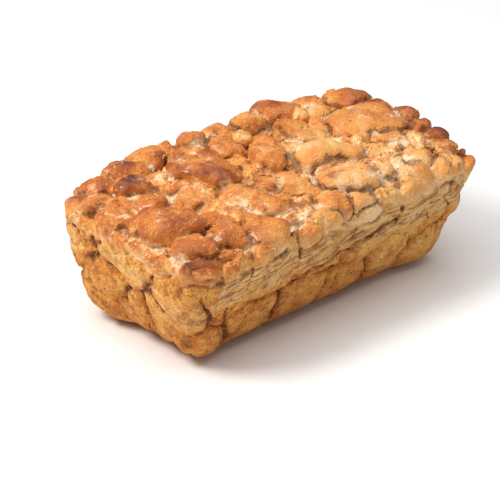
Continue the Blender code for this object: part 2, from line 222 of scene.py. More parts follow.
def drift(points, axes, layers):  # noise for each axis, in layers of strength, cell and seed
    return np.stack([sum(strength * cloud(points, cell, seed + axis) for strength, cell, seed in layers)
                     for axis in range(axes)], axis=1)


def ease(low, high, values):  # a soft step from 0 to 1
    part = np.clip((values - low) / (high - low), 0, 1)
    return part * part * (3 - 2 * part)


def readOut(items, name, width, kind=float):  # one row of numbers for each vertex or edge
    values = np.empty(len(items) * width, kind)
    items.foreach_get(name, values)
    return values.reshape(-1, width)


def meshPoints(mesh):
    return readOut(mesh.vertices, "co", 3) / mm


def meshNormals(mesh):
    return readOut(mesh.vertices, "normal", 3)


def putPoints(mesh, points):
    mesh.vertices.foreach_set("co", (points * mm).astype(np.float32).ravel())
    mesh.update()


def smoothed(values, edges, rounds, strength=0.6):  # each point moves towards its neighbours
    count = len(values)
    start, end = np.concatenate([edges, edges[:, ::-1]]).T
    share = np.bincount(start, minlength=count)[:, None]
    flat = values.astype(float).reshape(count, -1)
    for _ in range(rounds):
        mean = np.stack([np.bincount(start, column[end], count) for column in flat.T], axis=1)
        flat = flat + strength * (mean / share - flat)
    return flat.reshape(values.shape)


class Nearest:  # the nearest shape to each point, how far it is, and how far the next one is
    def __init__(self, count):
        self.first = np.full(count, 1e3)
        self.second = np.full(count, 1e3)
        self.owner = np.full(count, -1)

    def offer(self, away, index):
        closer = away < self.first
        self.second = np.where(closer, self.first, np.minimum(self.second, away))
        self.owner = np.where(closer, index, self.owner)
        self.first = np.minimum(self.first, away)


def newObject(name, data):
    piece = bpy.data.objects.new(name, data)
    bpy.context.scene.collection.objects.link(piece)
    return piece


def changed(mesh, name, kind, settings, inputs=None):  # the mesh with one modifier worked into it
    carrier = newObject(name + "Carrier", mesh)
    modifier = carrier.modifiers.new(name, kind)
    for setting, value in settings.items():
        setattr(modifier, setting, value)
    for item in modifier.node_group.interface.items_tree if inputs else ():
        if getattr(item, "in_out", "") == "INPUT" and item.name in inputs:
            modifier[item.identifier] = inputs[item.name]
    depsgraph = bpy.context.evaluated_depsgraph_get()
    result = bpy.data.meshes.new_from_object(carrier.evaluated_get(depsgraph))
    result.name = name
    bpy.data.objects.remove(carrier)
    return result


# Node trees, for Geometry Nodes and for materials

def sumOf(operation, turned=False):  # a method for sums with another socket or number
    def method(one, other):
        return one.worked(operation, *((other, one) if turned else (one, other)))
    return method


class Wire:  # a socket that takes part in sums
    def __init__(self, nodes, socket):
        self.nodes = nodes
        self.socket = socket

    def worked(self, operation, first, second=0.0):
        return self.nodes.node("ShaderNodeMath", {0: first, 1: second}, operation=operation)

    __add__ = __radd__ = sumOf("ADD")
    __mul__ = __rmul__ = sumOf("MULTIPLY")
    __sub__, __rsub__ = sumOf("SUBTRACT"), sumOf("SUBTRACT", True)
    __pow__, __rtruediv__ = sumOf("POWER"), sumOf("DIVIDE", True)

    def __abs__(self):
        return self.worked("ABSOLUTE", self)

    def clear(self, low, high):  # a soft step from 0 at low to 1 at high
        values = {"Value": self, "From Min": low, "From Max": high}
        return self.nodes.node("ShaderNodeMapRange", values, interpolation_type="SMOOTHSTEP")

    def beside(self, output):  # another output of the same node
        return Wire(self.nodes, self.socket.node.outputs[output])


class Nodes:  # a node tree under construction
    def __init__(self, tree):
        self.tree = tree

    def node(self, kind, values=None, output=0, **settings):
        node = self.tree.nodes.new(kind)
        for name, setting in settings.items():
            setattr(node, name, setting)
        self.feed(node, values or {})
        return Wire(self, node.outputs[output])

    def feed(self, node, values):
        for name, value in values.items():
            if isinstance(value, Wire):
                self.tree.links.new(value.socket, node.inputs[name])
            else:
                node.inputs[name].default_value = value


class Growth(Nodes):  # a Geometry Nodes tree with named inputs, which puts a small ball at each point
    def __init__(self, name, output, inputs):
        super().__init__(bpy.data.node_groups.new(name, "GeometryNodeTree"))
        sockets = self.tree.interface
        for title, (kind, value) in inputs.items():
            socket = sockets.new_socket(title, in_out="INPUT", socket_type="NodeSocket" + kind)
            if value is not None:
                socket.default_value = value
        sockets.new_socket(output, in_out="OUTPUT", socket_type="NodeSocketGeometry")
        first = self.node("NodeGroupInput")
        self.given = {title: first.beside(title) for title in inputs}
        ball = {"Radius": 0.5, "Subdivisions": self.given["Detail"]}
        self.ball = self.node("GeometryNodeMeshIcoSphere", ball, "Mesh")

    def vector(self, operation, values, output=0):
        return self.node("ShaderNodeVectorMath", values, output, operation=operation)

    def named(self, attribute, kind="FLOAT_VECTOR"):
        return self.node("GeometryNodeInputNamedAttribute", {"Name": attribute}, "Attribute", data_type=kind)

    def chance(self, low, high, seed):
        return self.node("FunctionNodeRandomValue", {0: low, 1: high, 8: seed}, data_type="FLOAT_VECTOR")

    def finished(self, output, points, ball, turn, size, material):
        bits = {"Points": points, "Instance": ball, "Rotation": turn, "Scale": size}
        bits = self.node("GeometryNodeInstanceOnPoints", bits, "Instances")
        bits = self.node("GeometryNodeRealizeInstances", {"Geometry": bits}, "Geometry")
        bits = self.node("GeometryNodeSetMaterial", {"Geometry": bits, "Material": material}, "Geometry")
        self.feed(self.tree.nodes.new("NodeGroupOutput"), {output: bits})
        return self.tree


def packingTree():  # a squarish lump of dough at each point
    tree = Growth("packDough", "Lumps", {
        "Points": ("Geometry", None), "Detail": ("Int", packing["detail"]),
        "Squareness": ("Float", packing["squareness"]), "Dough": ("Material", None)})
    given, square = tree.given, tree.given["Squareness"]
    at = tree.node("GeometryNodeInputPosition")
    powers = tree.node("ShaderNodeCombineXYZ", {0: square, 1: square, 2: square})
    size = tree.vector("POWER", {0: tree.vector("ABSOLUTE", {0: at}), 1: powers})
    size = tree.vector("DOT_PRODUCT", {0: size, 1: (1, 1, 1)}, 1) ** (1.0 / square)
    spot = tree.vector("SCALE", {0: at, "Scale": 0.5 / size})
    lump = tree.node("GeometryNodeSetPosition", {"Geometry": tree.ball, "Position": spot})
    turn = tree.node("FunctionNodeEulerToRotation", {"Euler": tree.named("lumpTurn")})
    return tree.finished("Lumps", given["Points"], lump, turn, tree.named("lumpSize"), given["Dough"])


def lumpMesh(rows, dough):
    points = bpy.data.meshes.new("lumpPoints")
    points.from_pydata([[c * mm for c in row[0]] for row in rows], [], [])
    for name, index, unit in (("lumpSize", 1, mm), ("lumpTurn", 2, 1.0)):
        attribute = points.attributes.new(name, "FLOAT_VECTOR", "POINT")
        attribute.data.foreach_set("vector", [c * unit for row in rows for c in row[index]])
    return changed(points, "lumps", "NODES", {"node_group": packingTree()}, {
        "Detail": packing["detail"], "Squareness": packing["squareness"], "Dough": dough})


def bevelled(shape, edges, radius, segments):
    bmesh.ops.bevel(shape, geom=edges, offset=radius, segments=segments, profile=0.5, affect="EDGES")


def blockMesh():  # the tin's dough and the crown above it
    shape, whole = bmesh.new(), bmesh.new()
    block = bpy.data.meshes.new("tinBlock")
    bmesh.ops.create_cube(shape, size=1.0)
    for vert in shape.verts:
        top = vert.co.z > 0
        vert.co.x *= tin["rimLength"] if top else tin["footLength"]
        vert.co.x += 0 if top else tin["footShift"]
        vert.co.y *= tin["rimWidth"] if top else tin["footWidth"]
        vert.co.z = tin["rimHeight"] if top else 0.0
    upright = [edge for edge in shape.edges if abs(edge.verts[0].co.z - edge.verts[1].co.z) > 1]
    bevelled(shape, upright, tin["cornerRadius"], 8)
    foot = [edge for edge in shape.edges if all(vert.co.z < 0.001 for vert in edge.verts)]
    bevelled(shape, foot, tin["footRadius"], 8)
    shape.to_mesh(block)
    whole.from_mesh(block)
    shape.clear()
    bmesh.ops.create_cube(shape, size=1.0)
    for vert in shape.verts:
        top = vert.co.z > 0
        vert.co.x *= tin["rimLength"] - crown["inset"]
        vert.co.y *= tin["rimWidth"] - crown["inset"]
        vert.co.z = crownHeight(vert.co.x) if top else tin["rimHeight"] / 2
    bevelled(shape, shape.edges[:], crown["rounding"], 6)
    shape.to_mesh(block)
    whole.from_mesh(block)
    whole.transform(Matrix.Scale(mm, 4))
    whole.to_mesh(block)
    shape.free()
    whole.free()
    return block


def joinedMesh(meshes):  # all of them in one
    whole = bmesh.new()
    for mesh in meshes:
        whole.from_mesh(mesh)
    joined = bpy.data.meshes.new("joined")
    whole.to_mesh(joined)
    whole.free()
    return joined


loafShape = {"voxel": 0.7, "smoothing": 5, "faces": 195000}


def thinned(mesh, faces):  # down to so many triangles
    mesh.calc_loop_triangles()
    ratio = min(1.0, faces / len(mesh.loop_triangles))
    return changed(mesh, "thinned", "DECIMATE", {"ratio": ratio})


# How the dough is pulled out of its plain shapes: warps first (strength, cell, seed), then creases and folds
doughShape = {
    "warp": ((2.8, 18, 20), (1.4, 7, 30)), "warpRise": (34, 60),
    "pinch": 2.3, "pinchWidth": 1.2, "puff": 0.6, "puffWidth": 6, "ownShape": 1.4, "ownCell": 12,
    "ownShift": (7.7, 3.1, 5.3), "ownRange": 91, "foldDepth": 1.0, "foldCell": 16, "foldWidth": 0.06,
    "foldPartCell": 14, "roughDepth": 2.9, "roughCell": 6.0, "flakeDepth": 1.2, "flakeCell": 3.6,
    "skin": 0.32, "skinCell": 2.2,
}


def warpOf(points):  # the pull of the dough at each point, none at the base
    return drift(points, 3, doughShape["warp"]) * ease(*doughShape["warpRise"], points[:, 2])[:, None]


def beforeWarp(points):  # where a warped point came from
    source = points
    for _ in range(3):
        source = points - warpOf(source)
    return source


def nuggetFields(points):  # the nearest nuggets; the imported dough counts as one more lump, number -1
    near = Nearest(len(points))
    power = packing["squareness"]
    for index, (middle, size, turn, _, _) in enumerate(nuggets):
        half = np.array(size) / 2
        local = (points - middle) @ np.array(Euler(turn).to_matrix()) / half
        radius = np.maximum((np.abs(local) ** power).sum(axis=1) ** (1 / power), 1e-6)
        near.offer((radius - 1) * radius / np.maximum(np.linalg.norm(local / half, axis=1), 1e-6), index)
    top = points[:, 2] - crownHeight(points[:, 0])
    aside = -unrolled(points)[1]
    above = points[:, 2] > tin["rimHeight"] + 2
    near.offer(np.where(above, np.maximum(top, aside + crown["inset"] / 2), aside), -1)
    return near


# The wall unrolled: side 0 is the near end (-X), 1 the near long side (-Y), 2 and 3 the hidden ones

def tinHalves(z):  # half the tin's length and width at a height
    level = np.clip(z / tin["rimHeight"], 0, 1.2)
    return [(tin["foot" + way] + (tin["rim" + way] - tin["foot" + way]) * level) / 2
            for way in ("Length", "Width")]


def tinMiddle(z):  # the foot sits a little towards the near end
    return tin["footShift"] * (1 - np.clip(z / tin["rimHeight"], 0, 1))


middleX, middleY = (half - tin["cornerRadius"] for half in tinHalves(tin["rimHeight"] / 2))
quarterTurn = tin["cornerRadius"] * math.pi / 2
sideStarts = (0, 2 * middleY + quarterTurn, 2 * (middleX + middleY) + 2 * quarterTurn,
              2 * middleX + 4 * middleY + 3 * quarterTurn)
wholeTurn = 4 * (middleX + middleY) + 4 * quarterTurn


def unrolled(points):  # distance round the tin, depth inside its wall, side
    x, y, z = points.T
    x = x - tinMiddle(z)
    halfX, halfY = tinHalves(z)
    radius = tin["cornerRadius"]
    innerX, innerY = halfX - radius, halfY - radius
    atX, atY = np.clip(x, -innerX, innerX), np.clip(y, -innerY, innerY)
    angle = np.arctan2(y - atY, x - atX) % (2 * math.pi)
    reach = np.hypot(x - atX, y - atY)
    along = atX / innerX * middleX
    across = atY / innerY * middleY
    inside = reach < 0.01
    nearEnd = np.abs(x) / halfX > np.abs(y) / halfY
    reach = np.where(inside, np.where(nearEnd, np.abs(x) - innerX, np.abs(y) - innerY), reach)
    flat = np.select([nearEnd & (x < 0), nearEnd, y < 0], [math.pi, 0.0, 1.5 * math.pi], 0.5 * math.pi)
    facing = np.where(inside, flat, angle) % (2 * math.pi)
    turned = (facing - math.pi) % (2 * math.pi)  # 0 at the near end, growing towards -Y
    quarterAngle = math.pi / 2
    side = np.floor((turned + 1e-4) / quarterAngle).astype(int) % 4
    bend = np.clip(turned - side * quarterAngle, 0, quarterAngle) * radius
    straight = np.select([side == 0, side == 1, side == 2],
                         [middleY - across, along + middleX, across + middleY], middleX - along)
    start = np.array(sideStarts)[side]
    return start + straight + bend, radius - reach, side


# How far dough stands out of the tin's plane on each side, below its edge and free of it
tinPress = {"proud": (0.5, 2.5, 7.0, 1.5), "freeFrom": 56, "freeBy": 72,
            "freeProud": (2.0, 4.5, 8.0, 3.0), "ownedFrom": 46}


def pressed(points):  # dough outside the tin's plane was held back by the tin
    _, depth, side = unrolled(points)
    out = np.maximum(-depth, 0)
    free = ease(tinPress["freeFrom"], tinPress["freeBy"], points[:, 2])
    held = np.array(tinPress["proud"])[side]
    limit = held + (np.array(tinPress["freeProud"])[side] - held) * free
    kept = limit * np.tanh(out / limit)
    halfX, halfY = tinHalves(points[:, 2])
    innerX, innerY = halfX - tin["cornerRadius"], halfY - tin["cornerRadius"]
    middle = tinMiddle(points[:, 2])
    away = points[:, :2] - np.stack([np.clip(points[:, 0], middle - innerX, middle + innerX),
                                     np.clip(points[:, 1], -innerY, innerY)], axis=1)
    reach = np.maximum(np.linalg.norm(away, axis=1), 1e-6)
    moved = points.copy()
    moved[:, :2] -= away / reach[:, None] * (out - kept)[:, None]
    return moved


def wallSpot(side, along):  # distance round the tin of a place on one side
    offset = (middleY - along, along + middleX, along + middleY, middleX - along)[side]
    return sideStarts[side] + offset


# Flat lobes that were pressed against the tin: side, place along it, height
wallLobes = [
    (0, 44, 16), (0, 40, 44), (0, 25, 10), (0, 18, 34), (0, 11, 54), (0, 24, 60), (0, -3, 20),
    (0, -24, 19), (0, -43, 12), (0, -46, 40), (1, -95, 12), (1, -57, 17), (1, -20, 16), (1, 17, 12),
    (1, 49, 20), (1, 82, 15), (1, 72, 42), (1, 94, 44), (1, 56, 52), (1, -78, 44), (1, -48, 48),
    (1, -12, 47), (1, 24, 46), (2, -40, 16), (2, -12, 22), (2, 18, 14), (2, 44, 20), (2, -30, 46),
    (2, 4, 48), (2, 36, 46), (3, 90, 18), (3, 62, 14), (3, 30, 20), (3, -6, 14), (3, -38, 20),
    (3, -70, 14), (3, -92, 40), (3, -60, 46), (3, -20, 44), (3, 16, 48), (3, 50, 45), (3, 84, 46),
]

# Deep cracks in the walls: side, from (along, height), to (along, height), width, strength
wallCracks = [
    (0, 23, 64, 24, 45, 1.6, 1.0), (0, -8, 16, -6, 1, 1.5, 0.9), (0, 15, 9, 14, 0, 1.5, 0.8),
    (0, 31, 58, 27, 50, 1.2, 0.6), (1, -77, 37, -73, 8, 1.9, 1.0), (1, -39, 31, -35, 11, 1.8, 1.0),
    (1, 42, 50, -3, 38, 1.4, 0.8), (1, -3, 38, -27, 35, 1.4, 0.8), (1, 6, 36, 8, 5, 1.3, 0.6),
    (1, 31, 16, 30, 0, 1.6, 0.9), (1, 66, 42, 64, 6, 1.2, 0.5), (2, -20, 46, -26, 12, 1.6, 0.8),
    (2, 22, 40, 30, 8, 1.6, 0.8), (3, 40, 44, 44, 8, 1.7, 0.9), (3, -24, 40, -18, 6, 1.7, 0.8),
    (3, 4, 50, -40, 42, 1.4, 0.7),
]

wallShape = {
    "creaseDepth": 2.6, "creaseWidth": 1.8, "pillow": 1.3, "pillowWidth": 12, "crackDepth": 2.6,
    "wander": ((5.0, 15, 40), (1.6, 5, 42)), "strand": 0.45, "pit": 0.6, "pitCell": 2.6,
    "rough": 0.3, "roughCell": 4, "squash": 0.85,
}

# Torn strands under the tin's edge: their share on each side; slope, height and width of their band on the
# near end, then on the other sides; how far the end's band sinks; cells along, across and into the wall
strands = {
    "share": (0.45, 1.0, 0.7, 0.7), "slope": (-0.42, 0.2), "height": (62, 49.5), "width": (10.0, 12.5),
    "drop": 26, "dropBy": 80, "cell": (15, 1.9, 30), "fineCell": (8, 1.1, 30), "fine": 0.6,
}


def strandBand(around, z, side):  # where the crust tore into pale strands, and their slope
    atEnd = side == 0
    slope, height, width = (np.where(atEnd, *strands[name]) for name in ("slope", "height", "width"))
    height = height - strands["drop"] * np.where(atEnd, ease(0, strands["dropBy"], around), 0.0)
    return np.array(strands["share"])[side] * (1 - ease(0.55, 1.0, np.abs(z - height) / width)), slope


def wallFields(points):  # relief and masks of the walls
    around, depth, side = unrolled(points)
    z = points[:, 2]
    flat = np.stack([around, z], axis=1) + drift(points, 2, wallShape["wander"])
    near = Nearest(len(points))
    for index, (lobeSide, along, height) in enumerate(wallLobes):
        gap = flat[:, 0] - wallSpot(lobeSide, along)
        gap = (gap + wholeTurn / 2) % wholeTurn - wholeTurn / 2
        near.offer(np.hypot(gap * wallShape["squash"], flat[:, 1] - height), index)
    border = near.second - near.first
    strength = 0.25 + 0.75 * ease(-0.35, 0.25, cloud(points, 20, 44))
    crease = np.exp(-(border / wallShape["creaseWidth"]) ** 2) * strength
    band, slope = strandBand(around, z, side)
    across = z - around * slope + 2.0 * cloud(points, 20, 45) + 0.5 * cloud(points, 7, 44)
    pull = np.stack([around + z * slope, across, depth], axis=1)
    fibres = cloud(pull, strands["cell"], 46) + strands["fine"] * cloud(pull, strands["fineCell"], 47)
    relief = wallShape["pillow"] * (ease(0, wallShape["pillowWidth"], border) - 0.5) * (1 - 0.7 * band)
    relief -= wallShape["creaseDepth"] * crease * (1 - 0.5 * band)
    relief += wallShape["strand"] * fibres * band
    pits = ease(0.36, 0.56, cloud(points, wallShape["pitCell"], 48)) * (1 - band)
    crack = np.zeros(len(points))
    for crackSide, fromAlong, fromHeight, toAlong, toHeight, width, deep in wallCracks:
        start = np.array([wallSpot(crackSide, fromAlong), fromHeight])
        run = np.array([wallSpot(crackSide, toAlong), toHeight]) - start
        reach = np.clip((flat - start) @ run / (run @ run), 0, 1)
        away = np.linalg.norm(flat - start - reach[:, None] * run, axis=1)
        crack = np.maximum(crack, deep * np.exp(-(away / width) ** 2))
    relief -= wallShape["crackDepth"] * crack + wallShape["pit"] * pits
    relief += wallShape["rough"] * clouds(points, wallShape["roughCell"], 2, 49)
    uneven = 4 * cloud(points, 15, 69) + 2 * cloud(points, 6, 68)
    onWall = ease(-2.5, 0.5, 4.5 - np.abs(depth)) * (1 - ease(-2, 2, z - tin["rimHeight"] - 1 + uneven))
    onWall = np.maximum(onWall, 1 - ease(10, 22, z))
    return {"relief": relief, "onWall": onWall, "crease": crease, "band": band, "fibres": fibres,
            "border": border, "strength": strength, "crack": crack, "pull": pull}


def nuggetValues(owner, column, outside):  # one number of each point's own nugget
    table = np.array([row[column] for row in nuggets] + [outside])
    return table[owner]


def ridges(points, cell, seed):  # sharp crests between soft hollows
    return 0.42 - np.abs(cloud(points, cell, seed))


# Where the foot is tucked in under the loaf: from and to, on the near end (y) and the near long side (x)
footTuck = {
    "height": 42, "taper": 1.3, "end": 7.5, "endFrom": (-44, -26), "endTo": (8, 27), "long": 6.0,
    "longFrom": (-88, -62), "longTo": (48, 84), "rightBulge": 3.0, "leftBulge": 3.5, "leftRise": 1.6,
    "halfX": 100, "halfY": 45,
}


def tuckedFoot(points):  # draws the foot in and swells the end walls
    x, y, z = points.T
    low = np.clip(1 - z / footTuck["height"], 0, 1) ** footTuck["taper"]
    level = np.clip(z / tin["rimHeight"], 0, 1)
    left, right = (np.clip(way * x / footTuck["halfX"], 0, 1) for way in (-1, 1))
    atEnd = ease(*footTuck["endFrom"], y) * (1 - ease(*footTuck["endTo"], y))
    atLong = ease(*footTuck["longFrom"], x) * (1 - ease(*footTuck["longTo"], x))
    moved = points.copy()
    moved[:, 0] += footTuck["end"] * low * atEnd * left
    moved[:, 0] += footTuck["rightBulge"] * np.sin(np.pi * level) * right ** 2
    moved[:, 0] -= footTuck["leftBulge"] * np.sin(np.pi * level ** footTuck["leftRise"]) * left ** 2
    moved[:, 1] += footTuck["long"] * low * atLong * np.clip(-y / footTuck["halfY"], 0, 1)
    return moved


def shapeDough(mesh):  # moves the points along their normals
    edges = readOut(mesh.edges, "vertices", 2, np.int64)
    points = smoothed(meshPoints(mesh), edges, loafShape["smoothing"])
    putPoints(mesh, points)
    normals = meshNormals(mesh)
    near = nuggetFields(beforeWarp(points))
    owner, gap = near.owner, near.second - near.first
    wall = wallFields(points)
    ownBig = (owner >= 0) & (owner < len(bigNuggets)) & (points[:, 2] > tinPress["ownedFrom"])
    wall["onWall"] *= 1 - smoothed(ownBig, edges, 2)
    rough = smoothed(nuggetValues(owner, 4, 0.8), edges, 5)
    onTop = 1 - wall["onWall"]
    parted = 0.2 + 0.8 * ease(-0.35, 0.2, cloud(points, 13, 74))  # some neighbours fused, some split
    parted = np.maximum(parted, 1 - ease(0.15, 0.4, rough))
    offWall = ease(1.0, 4.0, np.abs(unrolled(points)[1]))
    parted *= 0.2 + 0.8 * np.maximum(offWall, 0.7 * ownBig)
    own = points + (owner[:, None] * np.array(doughShape["ownShift"])) % doughShape["ownRange"]
    relief = doughShape["puff"] * (ease(0, doughShape["puffWidth"], gap) - 0.5)
    relief -= doughShape["pinch"] * (np.exp(-(gap / doughShape["pinchWidth"]) ** 2) * parted)
    relief += doughShape["ownShape"] * cloud(own, doughShape["ownCell"], 50) * (0.25 + 1.1 * rough)
    uneven = ease(0.05, 0.4, rough)
    foldLine = np.exp(-(cloud(own, doughShape["foldCell"], 51) / doughShape["foldWidth"]) ** 2)
    foldLine = (0.2 + 0.8 * uneven) * foldLine * ease(0.0, 0.3, cloud(own, doughShape["foldPartCell"], 52))
    relief -= doughShape["foldDepth"] * foldLine
    crumbly = ease(0.35, 0.9, rough)
    relief += doughShape["roughDepth"] * ridges(own, doughShape["roughCell"], 53) * crumbly
    relief += doughShape["flakeDepth"] * ridges(own, doughShape["flakeCell"], 54) * (0.5 * rough + crumbly)
    relief += doughShape["skin"] * (0.35 + 0.65 * uneven) * cloud(points, doughShape["skinCell"], 55)
    relief = relief * onTop + wall["relief"] * wall["onWall"]
    points = points + normals * (relief * ease(0.5, 7, points[:, 2]))[:, None]
    points[:, 2] = np.maximum(points[:, 2], 0)
    putPoints(mesh, tuckedFoot(points))
    return {"edges": edges, "points": points, "owner": owner, "rough": rough, "fold": foldLine,
            "wall": wall, "parted": parted, "onTop": onTop, "gap": gap, "crumbly": crumbly}


# What the oven and the filling did, and painted shade in the hollows and between the wall's fibres: browning,
# cinnamon, sugar and shine, one number each per point
browning = {
    "base": 0.32, "ownTone": 0.27, "crest": 0.21, "fineCrest": 0.14, "cloudy": 0.18, "height": 0.05,
    "up": 0.16, "sugared": -0.26, "burnt": 0.34, "farLeft": -0.09, "rightEnd": 0.14, "nearRim": -0.12,
    "rightMiddle": -0.08, "wallBase": 0.44, "wallFoot": 0.08, "wallCloudy": 0.16, "wallCrest": 0.16,
    "wallCrease": 0.2, "wallStrands": -0.2, "wallFibres": -0.22, "longRight": -0.15, "rightCorner": 0.12,
}

# Noise behind the paint: cell, octaves, seed
stains = {
    "cloudy": (16, 3, 60), "patchy": (9, 2, 58), "wall": (11, 3, 61), "swirlAndShade": (9, 2, 59),
    "smear": (7, 2, 62), "wallCrease": (12, 2, 63), "wallSwirl": (9, 3, 64), "sugar": (6, 2, 65),
    "sugarVeil": (13, 2, 66), "scattered": (8, 2, 73),
}

# Burnt spots: x, y, z, radius, strength
burntSpots = [
    (-73, 34, 78, 7, 0.9), (-62, 52, 80, 7, 0.4), (-20, 34, 82, 9, 0.5), (-33, 14, 78, 10, 0.3),
    (52, 53, 82, 8, 0.5), (84, 54, 82, 7, 0.6), (-2, -51, 75, 5, 0.6), (-95, 50, 70, 7, 0.5),
    (-27, -57, 67, 5, 0.5), (103, -45, 68, 5, 0.5), (-99, -53, 67, 11, 0.75), (-18, -8, 76, 5, 0.6),
    (104, 1, 78, 12, 0.25), (106, -27, 73, 11, 0.35), (105, 24, 74, 11, 0.15), (106, -50, 66, 9, 0.35),
]

# Smears of cinnamon and patches of sugar: x, y, radius
cinnamonSmears = [
    (-48, 34, 9), (-20, -42, 9), (88, -40, 12), (80, -52, 10), (-54, -38, 8), (12, -38, 7), (-5, 0, 9),
    (74, -30, 8), (92, -16, 11), (97, -30, 12), (95, -42, 10), (-35, 40, 8), (30, 20, 7), (-72, -30, 6),
]

sugarPatches = [
    (78, -28, 13), (56, -40, 11), (-45, -20, 10), (30, -50, 9), (-27, -49, 10), (23, 6, 7), (13, 39, 8),
    (66, 40, 9), (53, -9, 8), (-24, 38, 7), (66, -44, 8), (11, -18, 9), (42, -46, 9), (-52, 30, 7),
]


def nearSpots(points, spots):  # soft round masks at listed spots
    mask = np.zeros(len(points))
    for spot in spots:
        if len(spot) == 3:
            away = np.hypot(points[:, 0] - spot[0], points[:, 1] - spot[1]) / spot[2]
            mask = np.maximum(mask, 1 - ease(0.3, 1.2, away))
        else:
            away = np.linalg.norm(points - spot[:3], axis=1) / spot[3]
            mask = np.maximum(mask, spot[4] * (1 - ease(0.2, 1.2, away)))
    return mask


def standProud(points, edges, normals, rounds):  # how far a point stands out of its neighbourhood
    return np.einsum("ij,ij->i", points - smoothed(points, edges, rounds, 0.9), normals)


def browned(base, masks):  # the base plus each mask, as strong as browning says
    total = browning[base]
    for name, mask in masks.items():
        total = total + browning[name] * mask
    return total


seamReach = 8.0  # seam distances are painted as parts of this


def paintDough(mesh, fields):
    points, edges, wall = fields["points"], fields["edges"], fields["wall"]
    x, y, z = points.T
    normals = meshNormals(mesh)
    onTop, onWall = fields["onTop"], wall["onWall"]
    stain = {name: clouds(points, *noise) for name, noise in stains.items()}
    fine = np.clip(standProud(points, edges, normals, 6) / 0.5, -1, 1)
    broad = np.clip(standProud(points, edges, normals, 60) / 3.5, -1, 1)
    tone = smoothed(nuggetValues(fields["owner"], 3, -0.1), edges, 2)
    patch = nearSpots(points, sugarPatches)
    bake = browned("base", {
        "ownTone": tone, "crest": broad, "fineCrest": fine, "cloudy": stain["cloudy"],
        "height": np.clip((z - 70) / 8, -1.5, 1), "up": smoothed(normals, edges, 4)[:, 2] - 0.6,
        "sugared": patch * ease(-0.5, 0.3, stain["patchy"]), "burnt": nearSpots(points, burntSpots),
        "farLeft": np.minimum(x, 60) / 100, "rightEnd": ease(86, 102, x) * (1 - 0.6 * patch),
        "nearRim": (1 - ease(-52, -30, y)) * ease(-60, -10, x),
        "rightMiddle": np.exp(-((x - 45) / 35) ** 2 - ((y + 12) / 28) ** 2)})
    # The wall is painted darker towards its foot (wallFoot)
    wallBake = browned("wallBase", {
        "wallFoot": 1 - z / 40, "wallCloudy": stain["wall"], "wallCrest": fine, "wallCrease": wall["crease"],
        "wallStrands": wall["band"], "wallFibres": wall["fibres"] * wall["band"],
        "longRight": ease(-20, 60, x), "rightCorner": ease(85, 108, x)})
    # Painted shade: paler on the crests of the torn fibres and browner in the hollows between them, here and
    # in the wallFibres browning
    torn = wall["band"] * (1 - 0.75 * ease(0.05, 0.6, -wall["fibres"])) * onWall
    bake = bake * onTop + wallBake * onWall
    # Painted shade: the cinnamon colour also goes into the hollows between nuggets as their shade, on top of
    # real cinnamon; this channel also takes the smears, folds and wall creases, and the wall cracks, which
    # are painted dark partly as their shade
    cavityShade = ease(0.15, 0.8, -fine)
    swirlAndShade = (0.7 * cavityShade * ease(-0.35, 0.3, stain["swirlAndShade"]) + 0.35 * fields["fold"]) * onTop
    swirlAndShade += nearSpots(points, cinnamonSmears) * onTop * ease(-0.3, 0.35, stain["smear"] - 0.35 * broad)
    swirlAndShade += wall["crack"] * onWall
    swirlAndShade += 0.75 * wall["crease"] * onWall * ease(-0.45, 0.1, stain["wallCrease"])
    swirlAndShade += 0.6 * ease(0.05, 0.5, stain["wallSwirl"]) * onWall
    hollow = ease(-0.5, 0.3, -broad)
    sugar = 1.5 * patch * ease(-0.4, 0.3, stain["sugar"]) * (0.35 + 0.65 * hollow)
    sugar = np.maximum(sugar, 0.8 * ease(-0.05, 0.5, stain["sugarVeil"]) * hollow) * onTop
    veil = ease(-0.4, 0.4, cloud(points, 20, 67) + 0.5 * wall["fibres"])
    sugar += 0.15 * wall["band"] * onWall * veil
    gloss = ease(-0.1, 0.4, cloud(points, 12, 68)) * (1 - fields["crumbly"]) * onTop
    scattered = ease(-0.3, 0.4, stain["scattered"]) * onTop * ease(56, 62, z)
    topSeam = (fields["gap"] + 2.5 * (1 - fields["parted"])) / seamReach
    wallSeam = (wall["border"] + 2.2 * (1 - wall["strength"])) / seamReach
    layers = {"dough": (bake, swirlAndShade, sugar, 1), "finish": (gloss, onWall, torn, fields["rough"] * onTop),
              "seams": (topSeam, wallSeam, wall["crack"] * onWall, 1)}
    for name, parts in layers.items():
        values = np.empty((len(points), 4), np.float32)
        for column, part in enumerate(parts):
            values[:, column] = np.clip(part, 0, 1)
        mesh.color_attributes.new(name, "FLOAT_COLOR", "POINT").data.foreach_set("color", values.ravel())
    spread = {"crumbs": scattered * np.clip(0.12 + 0.8 * fields["crumbly"] + 0.5 * patch, 0, 1),
              "grains": np.clip(sugar * scattered, 0, 1)}
    for name, amount in spread.items():
        mesh.attributes.new(name, "FLOAT", "POINT").data.foreach_set("value", amount.astype(np.float32))
    pull = (wall["pull"] * mm).astype(np.float32)
    mesh.attributes.new("pull", "FLOAT_VECTOR", "POINT").data.foreach_set("vector", pull.ravel())


def colour(red, green, blue):  # from 0-255 screen values
    parts = [value / 255 for value in (red, green, blue)]
    parts = [part / 12.92 if part < 0.04 else ((part + 0.055) / 1.055) ** 2.4 for part in parts]
    return (*parts, 1.0)


